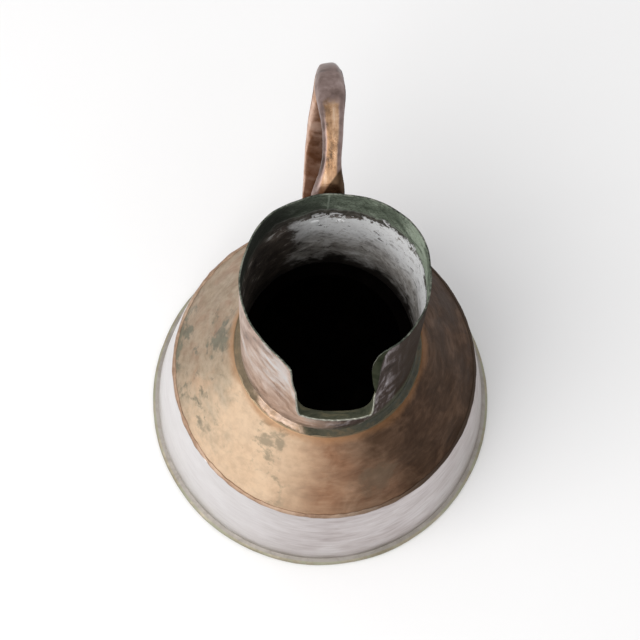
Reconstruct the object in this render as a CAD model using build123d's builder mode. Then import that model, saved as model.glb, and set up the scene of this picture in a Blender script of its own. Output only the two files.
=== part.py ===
from build123d import *
import os
from math import asin, cos, degrees, radians, sin

# Sheet-copper water jug. +Z is up, the pouring notch faces -Y and the handle is at +Y.
# The origin is the centre of the flat underside. All sizes are in millimetres.

# --- Driving dimensions: overall shape -----------------------------------------------
base_radius = 90.0            # outside of the folded hem round the base
shoulder_radius = 76.0        # outside of the body at the edge of the shoulder
shoulder_height = 71.0        # edge of the shoulder above the ground
neck_radius = 41.5            # outside of the neck tube at its foot
neck_seat_height = 117.0      # ledge on which the neck stands
rim_height = 220.0            # top of the neck
sheet = 1.2                   # thickness of the copper sheet

# --- Base seam -------------------------------------------------------------------------
hem_width = 3.0               # hem's outside to the wall, measured along the ground
hem_clearance = 0.4           # folded edge to the wall
flange_clearance = 0.05       # wall's flange to the inside of the fold
hem_round = 0.9               # outer edges of the fold

# --- Shoulder --------------------------------------------------------------------------
shoulder_lap = 6.0            # shoulder's turned-down lip inside the body wall
seat_margin = 3.0             # flat ledge outside the neck tube
seat_bend = 1.5               # radius of the bend between cone and ledge
throat_margin = 6.5           # ledge inside the neck, from the tube's outside
seam_solder_height = 1.4      # solder on the wall's top edge, up the shoulder

# --- Neck ------------------------------------------------------------------------------
foot_flange = 2.0             # neck's foot, turned out on the ledge
foot_solder_height = 2.2      # solder fillet above that flange
notch_top_width = 43.0        # pouring notch at the rim
notch_bottom_width = 34.0     # pouring notch at its bottom corners
notch_sill = 63.0             # wall left below the notch, above the ledge
notch_corner = 2.5            # radius of the notch's bottom corners
lip_length = 12.0             # pouring lip, turned out at the bottom of the notch
lip_lean = 33.0               # degrees from upright
lip_turn = 18.5               # degrees of the neck's round taken by each half of the lip
lip_root = 1.2                # lip's root below the bottom of the notch
# How far the mouth is pressed in from round, in even steps from +X towards +Y
mouth_press = [
    *(1.1, 0.2, -1.1, -0.8, 0.1, 0.9, 0.8, 0.4, 0.1, -0.5, 0.2, 0.1),
    *(0.4, 1.1, 1.9, 1.5, -1.0, -8.0, -8.0, -8.0, 0.0, 4.2, 3.5, 2.0),
]

# --- Brazed seams ----------------------------------------------------------------------
braze_width = 3.0
braze_thickness = 0.5
braze_end_gap = 1.0           # braze stops short of the edges it runs between
body_braze_angle = 20.0       # body's seam beside the handle, from +Y

# --- Handle ----------------------------------------------------------------------------
tab_thickness = 2.2           # both ends, hammered to the curve of the walls
upper_tab_width = 21.0
upper_tab_top = 14.0          # below the rim
upper_tab_bottom = 45.0       # below the rim
lower_tab_width = 18.0
lower_tab_top = 1.0           # below the shoulder's edge
lower_tab_bottom = 34.0       # below the shoulder's edge
tab_corner = 5.0
tab_overlap = 8.0             # strap forged on into each tab, from the tab's end
strap_thickness = 5.2
strap_roundness = 0.45        # rounding of the long edges, as a share of the thickness
handle_reach = 80.5           # corner of the strap's outline, out from the neck
handle_rise = 20.0            # that corner above the rim
crown_bend = 30.0             # bend of the strap's middle line at that corner
upper_leave = 13.0            # where the strap leaves the neck, below the rim
upper_bend = 11.0             # bend of the middle line there
lower_bend = 34.0             # bend of the middle line onto the body wall
# Share of the strap's length from the upper tab, its width, share of its full thickness
strap_stations = [
    (0.00, 13.0, 0.35),
    (0.07, 13.0, 0.45),
    (0.12, 11.5, 0.80),
    (0.18, 9.4, 1.00),
    (0.26, 9.0, 1.00),
    (0.34, 11.0, 1.00),
    (0.40, 12.6, 1.00),
    (0.47, 12.6, 1.00),
    (0.55, 11.6, 1.00),
    (0.65, 11.0, 1.00),
    (0.74, 11.0, 1.00),
    (0.82, 11.8, 0.90),
    (0.88, 13.0, 0.65),
    (0.94, 13.5, 0.45),
    (1.00, 13.5, 0.35),
]

# --- Rivets ----------------------------------------------------------------------------
rivet_radius = 1.7
rivet_clearance = 0.05        # shank in its hole
head_radius = 3.3
head_height = 1.5
head_sink = 0.25              # head hammered down onto the curved faces
upper_rivet_spacing = 12.0
upper_rivet_drop = 36.0       # below the rim
lower_rivet_drops = (11.0, 25.0)   # below the shoulder's edge

# --- Places worked out from the dimensions ---------------------------------------------
hem_height = 3 * sheet
wall_foot = (base_radius - hem_width, 2 * sheet)
wall_top = (shoulder_radius, shoulder_height)
wall_lean = (wall_foot[0] - wall_top[0]) / (wall_top[1] - wall_foot[1])
wall_slant = (1 + wall_lean**2) ** 0.5
seat_radius = neck_radius + seat_margin
throat_radius = neck_radius - throat_margin
foot_top = neck_seat_height + sheet
notch_bottom = neck_seat_height + notch_sill
far = 2 * base_radius         # beyond the jug on every side


def wall_radius(height, inset=0.0):
    """Radius of the body wall's outer face at a height, moved in by inset."""
    return wall_foot[0] - (height - wall_foot[1]) * wall_lean - inset * wall_slant


def revolved(points, face_line=False, bends=()):
    """Solid of revolution from an outline, or a ring of sheet from one of its faces."""
    with BuildPart() as ring:
        with BuildSketch(Plane.XZ):
            with BuildLine() as line:
                Polyline(*points, close=not face_line)
                for corner, radius in bends:
                    fillet(line.vertices().sort_by_distance(points[corner])[0], radius)
                if face_line:
                    offset(amount=sheet, side=Side.LEFT, kind=Kind.INTERSECTION)
            make_face()
        revolve(axis=Axis.Z)
    return ring.part


def pouring_lip():
    """Sheet turned out at the bottom of the notch, along the front of the neck."""
    with BuildPart() as lip:
        with BuildSketch(Plane.YZ):
            with BuildLine():
                Polyline(
                    (-lip_start, lip_base),
                    (-lip_start - lip_sheet, lip_base),
                    (-lip_start - lip_sheet - lip_out, lip_base + lip_up),
                    (-lip_start - lip_out, lip_base + lip_up),
                    close=True,
                )
            make_face()
        revolve(axis=Axis.Z, revolution_arc=2 * lip_turn)
    return lip.part.rotate(Axis.Z, -lip_turn)


def neck_form(inset):
    """Solid inside the neck's outer face, moved in by inset: round foot, pressed mouth."""
    mouth = []
    for step, press in enumerate(mouth_press):
        turn = radians(step * 360 / len(mouth_press))
        radius = neck_radius - inset - press
        mouth.append((radius * cos(turn), radius * sin(turn)))
    with BuildPart() as form:
        with BuildSketch(Plane.XY.offset(neck_seat_height)):
            Circle(neck_radius - inset)
        with BuildSketch(Plane.XY.offset(rim_height)):
            with BuildLine():
                Spline(*mouth, periodic=True)
            make_face()
        loft()
    return form.part


def body_form(inset):
    """Solid inside the outer faces of base, wall and shoulder, the wall moved in by inset."""
    return revolved(
        [
            (0, 0),
            (base_radius - inset, 0),
            (base_radius - inset, hem_height),
            (wall_radius(hem_height, inset), hem_height),
            (wall_radius(shoulder_height, inset), shoulder_height),
            (seat_radius, neck_seat_height),
            (0, neck_seat_height),
        ]
    )


def back_outline(width, bottom, top):
    """Prism with rounded corners through the back of the jug, seen along Y."""
    with BuildPart() as prism:
        with BuildSketch(Plane.XZ):
            with Locations((0, (bottom + top) / 2)):
                RectangleRounded(width, top - bottom, tab_corner)
        extrude(amount=-far)
    return prism.part


def rivet(plane, grip):
    """Round-headed rivet, its head on the plane and its tail hammered over at the grip."""
    dome_radius = (head_radius**2 + head_height**2) / (2 * head_height)
    with BuildPart() as one:
        with BuildSketch(Plane.XZ):
            with BuildLine():
                l1 = Line((0, head_height), (0, -grip - head_height))
                l2 = RadiusArc(l1 @ 1, (head_radius, -grip), -dome_radius)
                l3 = Polyline(
                    l2 @ 1,
                    (head_radius, -grip + head_sink),
                    (rivet_radius, -grip + head_sink),
                    (rivet_radius, -head_sink),
                    (head_radius, -head_sink),
                    (head_radius, 0),
                )
                RadiusArc(l3 @ 1, l1 @ 0, -dome_radius)
            make_face()
        revolve(axis=Axis.Z)
    return plane.location * one.part


# --- Placing of the rivets ---------------------------------------------------------------
upper_rivet_turn = degrees(asin(upper_rivet_spacing / 2 / neck_radius))
upper_rivet_planes = []
for turn in (90 - upper_rivet_turn, 90 + upper_rivet_turn):
    out = Vector(cos(radians(turn)), sin(radians(turn)), 0)
    at = out * (neck_radius + tab_thickness) + Vector(0, 0, rim_height - upper_rivet_drop)
    upper_rivet_planes.append(Plane(origin=at, x_dir=(0, 0, 1), z_dir=out))

lower_rivet_planes = []
for drop in lower_rivet_drops:
    height = shoulder_height - drop
    at = Vector(0, wall_radius(height, -tab_thickness), height)
    lower_rivet_planes.append(Plane(origin=at, x_dir=(1, 0, 0), z_dir=(0, 1, wall_lean)))

with BuildPart() as upper_holes:
    for plane in upper_rivet_planes:
        with BuildSketch(plane):
            Circle(rivet_radius + rivet_clearance)
        extrude(amount=3 * tab_thickness, both=True)

with BuildPart() as lower_holes:
    for plane in lower_rivet_planes:
        with BuildSketch(plane):
            Circle(rivet_radius + rivet_clearance)
        extrude(amount=3 * tab_thickness, both=True)

# --- Base plate: flat disc, its edge folded up and in over the wall's flange -------------
fold_end = wall_radius(wall_foot[1]) + hem_clearance
with BuildPart() as base_plate:
    with BuildSketch(Plane.XZ):
        with BuildLine():
            Polyline(
                (0, 0),
                (base_radius, 0),
                (base_radius, hem_height),
                (fold_end, hem_height),
                (fold_end, 2 * sheet),
                (base_radius - sheet, 2 * sheet),
                (base_radius - sheet, sheet),
                (0, sheet),
                close=True,
            )
        make_face()
        fillet(vertices().group_by(Axis.X)[-1], hem_round)
    revolve(axis=Axis.Z)

# --- Body wall: flared, with a flange turned out at the bottom into the fold -------------
flange_end = (base_radius - sheet - flange_clearance, 2 * sheet)
with BuildPart() as body_wall:
    add(revolved([flange_end, wall_foot, wall_top], face_line=True))
    split(bisect_by=Plane.XY.offset(shoulder_height), keep=Keep.BOTTOM)
    add(lower_holes.part, mode=Mode.SUBTRACT)

# --- Braze down the body wall's seam, on the inside --------------------------------------
braze_bottom = wall_foot[1] + braze_end_gap
braze_top = shoulder_height - shoulder_lap - braze_end_gap
braze_turn = degrees(braze_width / shoulder_radius)
with BuildPart() as body_seam_braze:
    with BuildSketch(Plane.YZ.rotated((0, 0, -body_braze_angle))):
        with BuildLine():
            Polyline(
                (wall_radius(braze_bottom, sheet), braze_bottom),
                (wall_radius(braze_top, sheet), braze_top),
                (wall_radius(braze_top, sheet + braze_thickness), braze_top),
                (wall_radius(braze_bottom, sheet + braze_thickness), braze_bottom),
                close=True,
            )
        make_face()
    revolve(axis=Axis.Z, revolution_arc=braze_turn)

# --- Shoulder: cone with a lip inside the wall and a ledge turned in under the neck ------
lip_bottom = shoulder_height - shoulder_lap
shoulder_line = [
    (wall_radius(lip_bottom, sheet), lip_bottom),
    (wall_radius(shoulder_height, sheet), shoulder_height),
    (seat_radius, neck_seat_height),
    (throat_radius, neck_seat_height),
]
with BuildPart() as shoulder:
    add(revolved(shoulder_line, face_line=True, bends=[(2, seat_bend)]))

# --- Solder on the wall's top edge, run up against the shoulder --------------------------
with BuildPart() as body_seam_solder:
    add(
        revolved(
            [
                (shoulder_radius, shoulder_height),
                (wall_radius(shoulder_height, 2 * sheet), shoulder_height + seam_solder_height),
                (wall_radius(shoulder_height, 2 * sheet), shoulder_height),
            ]
        )
    )
    add(shoulder.part, mode=Mode.SUBTRACT)

# --- Neck: tube with a pressed mouth, a turned-out foot and the pouring notch ------------
flange_radius = neck_radius + foot_flange
lip_base = notch_bottom - lip_root
lip_share = (lip_base - neck_seat_height) / (rim_height - neck_seat_height)
lip_start = neck_radius - sheet - min(mouth_press) * lip_share
lip_sheet = sheet / cos(radians(lip_lean))
lip_out = lip_length * sin(radians(lip_lean))
lip_up = lip_length * cos(radians(lip_lean))
with BuildPart() as neck:
    add(neck_form(0))
    with BuildSketch(Plane.XY.offset(neck_seat_height)):
        Circle(flange_radius)
    extrude(amount=sheet)
    add(neck_form(sheet), mode=Mode.SUBTRACT)
    with BuildSketch(Plane.XZ):
        with BuildLine():
            Polyline(
                (-notch_top_width / 2, rim_height),
                (-notch_bottom_width / 2, notch_bottom),
                (notch_bottom_width / 2, notch_bottom),
                (notch_top_width / 2, rim_height),
                close=True,
            )
        make_face()
        fillet(vertices().group_by(Axis.Y)[0], notch_corner)
    extrude(amount=far, mode=Mode.SUBTRACT)
    add(pouring_lip())
    add(upper_holes.part, mode=Mode.SUBTRACT)

# --- Braze down the neck's seam, inside at the back --------------------------------------
with BuildPart() as neck_seam_braze:
    with BuildSketch(Plane.XY.offset(foot_top)):
        with Locations((0, neck_radius)):
            Rectangle(braze_width, neck_radius)
    extrude(amount=rim_height - foot_top - braze_end_gap)
    add(neck_form(sheet), mode=Mode.INTERSECT)
    add(neck_form(sheet + braze_thickness), mode=Mode.SUBTRACT)

# --- Solder fillet round the neck's foot -------------------------------------------------
with BuildPart() as neck_foot_solder:
    with BuildSketch(Plane.XZ):
        with BuildLine():
            l1 = Line((neck_radius, foot_top + foot_solder_height), (neck_radius - sheet, foot_top))
            l2 = Line(l1 @ 1, (flange_radius, foot_top))
            RadiusArc(l2 @ 1, l1 @ 0, -3 * foot_solder_height)
        make_face()
    revolve(axis=Axis.Z)
    add(neck.part, mode=Mode.SUBTRACT)
    add(neck_form(0), mode=Mode.SUBTRACT)

# --- Handle: forged strap between two tabs that lie on the neck and the body wall --------
with BuildPart() as upper_tab:
    with BuildSketch(Plane.XY.offset(rim_height - upper_tab_bottom)):
        Circle(neck_radius + tab_thickness)
    extrude(amount=upper_tab_bottom - upper_tab_top)
    add(
        back_outline(upper_tab_width, rim_height - upper_tab_bottom, rim_height - upper_tab_top),
        mode=Mode.INTERSECT,
    )

with BuildPart() as lower_tab:
    add(body_form(-tab_thickness))
    add(
        back_outline(
            lower_tab_width, shoulder_height - lower_tab_bottom, shoulder_height - lower_tab_top
        ),
        mode=Mode.INTERSECT,
    )

middle = tab_thickness / 2
strap_end_height = shoulder_height - lower_tab_bottom + tab_overlap
strap_corners = [
    (neck_radius + middle, rim_height - upper_tab_bottom + tab_overlap),
    (neck_radius + middle, rim_height - upper_leave),
    (neck_radius + handle_reach, rim_height + handle_rise),
    (wall_radius(shoulder_height, -middle), shoulder_height),
    (wall_radius(strap_end_height, -middle), strap_end_height),
]
strap_bends = [upper_bend, crown_bend, lower_bend]
with BuildLine(Plane.YZ) as strap_path:
    FilletPolyline(*strap_corners, radius=strap_bends)

path = strap_path.line
with BuildPart() as handle:
    for share, width, thinning in strap_stations:
        thickness = strap_thickness * thinning
        with BuildSketch(Plane(origin=path @ share, x_dir=(1, 0, 0), z_dir=path % share)):
            RectangleRounded(width, thickness, thickness * strap_roundness)
    loft()
    add(upper_tab.part)
    add(lower_tab.part)
    add(neck_form(0), mode=Mode.SUBTRACT)
    add(body_form(0), mode=Mode.SUBTRACT)
    add(upper_holes.part, mode=Mode.SUBTRACT)
    add(lower_holes.part, mode=Mode.SUBTRACT)

# --- Rivets: two through the neck, two through the body wall -----------------------------
with BuildPart() as upper_rivets:
    for plane in upper_rivet_planes:
        add(rivet(plane, tab_thickness + sheet))
    add(neck.part, mode=Mode.SUBTRACT)
    add(handle.part, mode=Mode.SUBTRACT)

with BuildPart() as lower_rivets:
    for plane in lower_rivet_planes:
        add(rivet(plane, tab_thickness + sheet))
    add(body_wall.part, mode=Mode.SUBTRACT)
    add(handle.part, mode=Mode.SUBTRACT)

# --- One STEP file for each piece --------------------------------------------------------
pieces = {
    "base_plate": base_plate,
    "body_wall": body_wall,
    "body_seam_braze": body_seam_braze,
    "body_seam_solder": body_seam_solder,
    "shoulder": shoulder,
    "neck": neck,
    "neck_seam_braze": neck_seam_braze,
    "neck_foot_solder": neck_foot_solder,
    "handle": handle,
    "upper_rivets": upper_rivets,
    "lower_rivets": lower_rivets,
}
os.makedirs("parts", exist_ok=True)
for name, piece in pieces.items():
    piece.part.label = name
    export_step(piece.part, f"parts/{name}.step")
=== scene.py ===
import bmesh
import bpy
import numpy as np
from math import cos, pi, radians, sin
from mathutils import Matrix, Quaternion, Vector


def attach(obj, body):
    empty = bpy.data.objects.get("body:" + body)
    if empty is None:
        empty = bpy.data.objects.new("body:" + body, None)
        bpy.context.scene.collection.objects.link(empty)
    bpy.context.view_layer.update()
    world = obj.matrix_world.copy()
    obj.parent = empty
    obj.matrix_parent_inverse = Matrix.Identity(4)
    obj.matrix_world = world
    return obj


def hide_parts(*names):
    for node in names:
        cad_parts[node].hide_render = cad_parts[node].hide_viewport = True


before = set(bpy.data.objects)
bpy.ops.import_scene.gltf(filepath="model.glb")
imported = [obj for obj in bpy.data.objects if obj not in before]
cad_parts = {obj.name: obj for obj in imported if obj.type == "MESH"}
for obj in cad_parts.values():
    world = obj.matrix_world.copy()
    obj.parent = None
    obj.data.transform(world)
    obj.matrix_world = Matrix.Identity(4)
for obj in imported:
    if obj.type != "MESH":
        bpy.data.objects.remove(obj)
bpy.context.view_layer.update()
scene = bpy.context.scene
MM = 0.001

# ------------------------------------------------------------------ sizes, in mm
WALL_FOOT_R, EDGE_R, EDGE_Z = 87.0, 76.0, 71.0
SEAT_R, SEAT_Z, THROAT_R = 44.5, 117.0, 35.0
NECK_R, RIM_Z, SHEET = 41.5, 220.0, 0.75
WALL_FOOT_Z, WALL_INNER_Z, FLANGE_R = 2.4, 3.6, 80.0
PLATE = 1.2  # sheet of the base, the skirt and the shoulder
WALL_LEAN = (WALL_FOOT_R - EDGE_R) / (EDGE_Z - WALL_FOOT_Z)


# ------------------------------------------------------------------ smooth random shapes
def waves(count, low, high, seed):
    """Smooth periodic function of an angle, in radians, between about -1 and 1."""
    r = np.random.default_rng(seed)
    orders = r.integers(low, high + 1, count)
    phases = r.uniform(0, 2 * pi, count)
    sizes = r.uniform(0.4, 1.0, count)
    sizes /= sizes.sum()

    def f(a):
        a = np.asarray(a, float)
        return sum(s * np.sin(o * a + p) for o, p, s in zip(orders, phases, sizes)) * 1.6

    return f


def ripples(count, seed, low=2, high=9, across=0.09):
    """Smooth function of angle and height: shallow hammer and handling marks."""
    r = np.random.default_rng(seed)
    orders = r.integers(low, high + 1, count)
    rates = r.uniform(-across, across, count)
    phases = r.uniform(0, 2 * pi, count)

    def f(a, z):
        return sum(np.sin(o * a + k * z + p) for o, k, p in zip(orders, rates, phases)) / count**0.5

    return f


def dent(a, z, at, height, wide, tall, deep):
    """One dent pressed in at an angle and a height."""
    d = (a - at + pi) % (2 * pi) - pi
    return -deep * np.exp(-((d / wide) ** 2) - ((z - height) / tall) ** 2)


# ------------------------------------------------------------------ meshes
def mesh_object(name, verts, faces):
    mesh = bpy.data.meshes.new(name)
    mesh.from_pydata([tuple(v) for v in np.asarray(verts) * MM], [], faces)
    mesh.update()
    mesh.polygons.foreach_set("use_smooth", [True] * len(mesh.polygons))
    obj = bpy.data.objects.new(name, mesh)
    scene.collection.objects.link(obj)
    return obj


def grid_faces(rows, cols, start=0, wrap=False, flip=False):
    faces = []
    for i in range(rows - 1):
        for j in range(cols if wrap else cols - 1):
            k = (j + 1) % cols
            f = (i * cols + j, i * cols + k, (i + 1) * cols + k, (i + 1) * cols + j)
            f = tuple(start + v for v in f)
            faces.append(f[::-1] if flip else f)
    return faces


def bake(obj):
    """Writes the object's modifiers into its mesh."""
    dg = bpy.context.evaluated_depsgraph_get()
    mesh = bpy.data.meshes.new_from_object(obj.evaluated_get(dg))
    old = obj.data
    obj.modifiers.clear()
    obj.data = mesh
    bpy.data.meshes.remove(old)
    mesh.name = obj.name
    mesh.polygons.foreach_set("use_smooth", [True] * len(mesh.polygons))


def turned(name, profile, cols, shape, inner_from=None):
    """A closed outline of (radius, height) turned round Z. shape(a, r, z) moves its points.
    From outline point inner_from on, its faces take the second material."""
    a = np.linspace(0, 2 * pi, cols, endpoint=False)
    prof = np.asarray(profile, float)
    r = np.repeat(prof[:, :1], cols, 1)
    z = np.repeat(prof[:, 1:2], cols, 1)
    aa = np.repeat(a[None, :], len(prof), 0)
    r, z = shape(aa, r, z)
    verts = np.stack([r * np.cos(aa), r * np.sin(aa), z], -1).reshape(-1, 3)
    faces = grid_faces(len(prof), cols, wrap=True)
    last = (len(prof) - 1) * cols
    for j in range(cols):
        k = (j + 1) % cols
        faces.append((last + j, last + k, k, j))
    obj = mesh_object(name, verts, faces)
    if inner_from is not None:
        index = np.zeros(len(faces), np.int32)
        index[inner_from * cols:] = 1
        obj.data.polygons.foreach_set("material_index", index)
    return obj


def line(*points, step=1.5):
    """Points along a chain of straight lines, no further apart than step."""
    out = [np.array(points[0], float)]
    for p, q in zip(points[:-1], points[1:]):
        p, q = np.array(p, float), np.array(q, float)
        n = max(1, int(np.ceil(np.linalg.norm(q - p) / step)))
        out += [p + (q - p) * (i + 1) / n for i in range(n)]
    return np.array(out)


def rounded(corners, bends, step=1.0):
    """A chain of lines with its inner corners rounded to the given radii."""
    pts = [np.array(c, float) for c in corners]
    out = [pts[0]]
    for i, radius in enumerate(bends, start=1):
        p, q, s = pts[i - 1], pts[i], pts[i + 1]
        u, v = (p - q) / np.linalg.norm(p - q), (s - q) / np.linalg.norm(s - q)
        half = np.arccos(np.clip(u @ v, -1, 1)) / 2
        back = radius / np.tan(half)
        mid = q + (u + v) / np.linalg.norm(u + v) * radius / np.sin(half)
        a, b = q + u * back - mid, q + v * back - mid
        turn = pi - 2 * half
        n = max(3, int(radius * turn / step))
        for k in range(n + 1):
            t = k / n
            w = (np.sin((1 - t) * turn) * a + np.sin(t * turn) * b) / np.sin(turn)
            out.append(mid + w)
    out.append(pts[-1])
    return resample(np.array(out), step)


def softened(values, reach=12, ends="edge"):
    """A row of values with its corners rounded off."""
    kernel = np.exp(-((np.arange(-reach, reach + 1) / 6.0) ** 2))
    return np.convolve(np.pad(values, reach, ends), kernel / kernel.sum(), "valid")


def resample(points, step):
    seg = np.linalg.norm(np.diff(points, axis=0), axis=1)
    s = np.concatenate([[0], np.cumsum(seg)])
    n = int(s[-1] / step) + 1
    t = np.linspace(0, s[-1], n)
    return np.stack([np.interp(t, s, points[:, k]) for k in range(points.shape[1])], 1)


# ------------------------------------------------------------------ body: base, wall, shoulder
wall_marks = ripples(16, 3)
wall_soft = waves(5, 2, 5, 21)
edge_soft = waves(6, 2, 6, 8)


def wall_shape(a, r, z):
    t = np.clip((z - 2) / 70, 0, 1)
    r = r + 0.16 * wall_marks(a, z) * np.sin(pi * t) ** 0.5
    r = r + 0.35 * wall_soft(a) * np.sin(pi * t)
    r = r + dent(a, z, radians(-118), 52, 0.16, 15, 0.9)
    r = r + dent(a, z, radians(-38), 46, 0.22, 18, 0.8)
    r = r + dent(a, z, radians(160), 40, 0.2, 14, 0.7)
    r = r + edge_out(a) * t**2
    return r, z


def edge_out(a):
    """How far the shoulder's edge is from round."""
    return 0.35 * edge_soft(a)


def wall_r(z, inset=0.0):
    return WALL_FOOT_R - (z - WALL_FOOT_Z) * WALL_LEAN - inset


wall_outer = line((wall_r(WALL_FOOT_Z), WALL_FOOT_Z), (wall_r(EDGE_Z), EDGE_Z), step=1.6)
wall_inner = line((wall_r(EDGE_Z, PLATE), EDGE_Z), (wall_r(WALL_INNER_Z, PLATE), WALL_INNER_Z), step=3)
body = turned(
    "skirt",
    np.vstack([
        [[FLANGE_R, WALL_FOOT_Z + 0.02]],
        wall_outer[:1] + [[0.5, 0.0]],
        wall_outer[1:-1],
        [[wall_r(EDGE_Z - 0.4) - 0.05, EDGE_Z - 0.25], [wall_r(EDGE_Z) - 0.35, EDGE_Z + 0.05]],
        wall_inner,
        [[FLANGE_R, WALL_INNER_Z]],
    ]),
    cols=540,
    shape=wall_shape,
    inner_from=len(wall_outer) + 3,
)

hem_wave = waves(8, 3, 17, 5)
hem_fine = waves(14, 18, 70, 6)


def hem_shape(a, r, z):
    t = np.clip((r - 84) / 6, 0, 1)
    r = r + t * (0.18 * hem_wave(a) + 0.07 * hem_fine(a))
    z = np.where(z > 0.6, z + t * (0.14 * hem_wave(a + 1) + 0.06 * hem_fine(a + 2)), z)
    z = np.where((z <= 0.6) & (r < 60), z + 0.35 * np.clip((60 - r) / 60, 0, 1), z)
    return r, z


hem_arc = [
    (88.6 + 1.3 * cos(t), 1.5 + 1.5 * sin(t)) for t in np.linspace(-pi / 2, pi / 2, 13)
]
base_under = line((0.02, 0.0), (20, 0.0), (87.6, 0.0), step=4)
hem_fold = [(88.0, 3.5), (87.4, 3.7), (86.9, 4.1), (86.2, 4.2), (85.2, 3.0)]
base = turned(
    "base",
    np.vstack([
        base_under,
        hem_arc,
        hem_fold,
        line((80, 1.6), (60, 1.2), (0.02, 1.2), step=8),
    ]),
    cols=540,
    shape=hem_shape,
    inner_from=len(base_under) + len(hem_arc) + len(hem_fold),
)

shoulder_marks = ripples(20, 33, 2, 12, 0.16)
shoulder_soft = waves(5, 2, 6, 13)


def shoulder_shape(a, r, z):
    t = np.clip((z - 71) / 45, 0, 1)
    k = np.sin(pi * t)
    r = r + 0.16 * shoulder_marks(a, z) * np.clip(k * 3, 0, 1)
    r = r + 0.5 * shoulder_soft(a) * k
    r = r + edge_out(a) * np.clip(1 - t * 1.6, 0, 1)
    r = r + dent(a, z, radians(-60), 84, 0.2, 9, 0.9)
    r = r + dent(a, z, radians(195), 96, 0.2, 9, 0.7)
    return r, z


LAP_R, LAP_Z = 74.7, 66.0
sh_out = rounded(
    [(LAP_R, LAP_Z), (LAP_R, EDGE_Z + 0.7), (SEAT_R + 0.2, SEAT_Z), (THROAT_R, SEAT_Z)],
    [1.2, 2.0],
    step=0.9,
)
sh_in = line(
    (THROAT_R, SEAT_Z - PLATE), (SEAT_R - 0.4, SEAT_Z - PLATE), (73.6, 70.6), (LAP_R - PLATE, LAP_Z), step=3
)
ledge_from = int(np.argmax((sh_out[:, 0] < NECK_R + 0.1) & (sh_out[:, 1] > 110)))
shoulder = turned(
    "shoulder_cone", np.vstack([sh_out, sh_in]), cols=540, shape=shoulder_shape, inner_from=ledge_from
)

lump_a, lump_b = waves(12, 5, 40, 41), waves(16, 20, 90, 42)


def edge_solder_shape(a, r, z):
    lump = 1 + 0.35 * lump_a(a) + 0.25 * lump_b(a)
    mid_r, mid_z = 75.2, 71.3
    return mid_r + (r - mid_r) * lump + edge_out(a), mid_z + (z - mid_z) * lump


edge_solder = turned(
    "edge_solder",
    [(75.95, 70.9), (75.9, 71.25), (75.5, 71.6), (74.9, 72.0), (74.3, 72.4), (74.3, 71.8), (75.0, 70.9)],
    cols=720,
    shape=edge_solder_shape,
)

# ------------------------------------------------------------------ neck: pressed mouth, notch, lip, flap
# The mouth's outside at the height of the rim, carried on across the notch: degrees, radius.
MOUTH = [
    (0, 40.4), (9, 41.0), (18, 42.2), (28, 42.8), (39, 42.7), (50, 42.0), (66, 41.2), (80, 40.3),
    (96, 40.9), (110, 40.7), (126, 42.0), (140, 42.0), (155, 41.1), (174, 41.3), (188, 40.8),
    (198, 40.4), (211, 39.6), (222, 39.7), (231, 40.1), (236, 41.0), (239.3, 42.0), (241.3, 44.2),
    (244, 46.1), (247, 47.8), (250.5, 49.6), (257, 49.9), (270, 49.5), (280, 49.7), (283.5, 49.4),
    (286.1, 48.6), (289.1, 46.9), (291.3, 44.4), (294.1, 41.0), (297, 38.2), (300.5, 36.2),
    (305, 35.7), (312, 36.6), (321, 37.3), (332, 38.0), (344, 39.3), (353, 39.9),
]
turns = np.radians([m[0] for m in MOUTH])
radii = np.array([m[1] for m in MOUTH])
fine = np.linspace(0, 2 * pi, 1440, endpoint=False)
mouth_r = softened(np.interp(fine, turns, radii, period=2 * pi), 16, "wrap")
FLARE_FROM, FLARE_TO, FLARE_FADE = 244.0, 289.5, 6.5
FLARE_Z, FLARE_SLOPE = 182.0, 0.62
neck_marks = ripples(22, 55, 2, 11, 0.12)
neck_fine = ripples(26, 56, 9, 30, 0.5)


def smooth(x):
    x = np.clip(x, 0, 1)
    return x * x * (3 - 2 * x)


def neck_r(a, z):
    """Outside of the neck at an angle and height, the lip's flare included."""
    t = np.clip((z - SEAT_Z) / (RIM_Z - SEAT_Z), 0, 1.1)
    r = NECK_R + (np.interp(a % (2 * pi), fine, mouth_r, period=2 * pi) - NECK_R) * t
    d = np.degrees(a) % 360
    flare = smooth((d - FLARE_FROM) / FLARE_FADE) * smooth((FLARE_TO - d) / FLARE_FADE)
    over = z - FLARE_Z
    r = r + flare * FLARE_SLOPE * (np.sqrt(over**2 + 1.2) + over) / 2
    quiet = 0.35 + 0.65 * smooth((RIM_Z - 4 - z) / 20)
    r = r + 0.13 * neck_marks(a, z) * quiet * smooth((z - 119) / 12) + 0.03 * neck_fine(a, z)
    r = r + dent(a, z, radians(222), 168, 0.22, 16, 1.1)
    r = r + dent(a, z, radians(318), 186, 0.16, 20, 0.8)
    return r


def neck_point(a, z):
    r = neck_r(a, z)
    return np.stack([r * np.cos(a), r * np.sin(a), z], -1)


LIP_L, TIP_R = 250.5, 289.1
LIP_Z, TIP_Z = 190.0, 198.0
NOTCH_L, CORNER_R = 239.3, 305.0
TIP_RISE = 282.7  # degrees at which the lip starts to rise to its tip
FOOT_Z = SEAT_Z + 0.9
rim_wave = waves(9, 3, 14, 71)
rim_fine = waves(18, 20, 110, 72)


def along(points, t):
    """Point at share t along a chain of points, by length."""
    p = np.array(points, float)
    if p.ndim == 1:
        p = p[:, None]
    s = np.concatenate([[0], np.cumsum(np.linalg.norm(np.diff(p, axis=0), axis=1))])
    return np.stack([np.interp(np.asarray(t) * s[-1], s, p[:, k]) for k in range(p.shape[1])], -1)


def chain(points, samples=200, passes=30):
    """The chain smoothed, ends kept."""
    p = along(points, np.linspace(0, 1, samples))
    for _ in range(passes):
        p[1:-1] = 0.25 * p[:-2] + 0.5 * p[1:-1] + 0.25 * p[2:]
    return p


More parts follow.
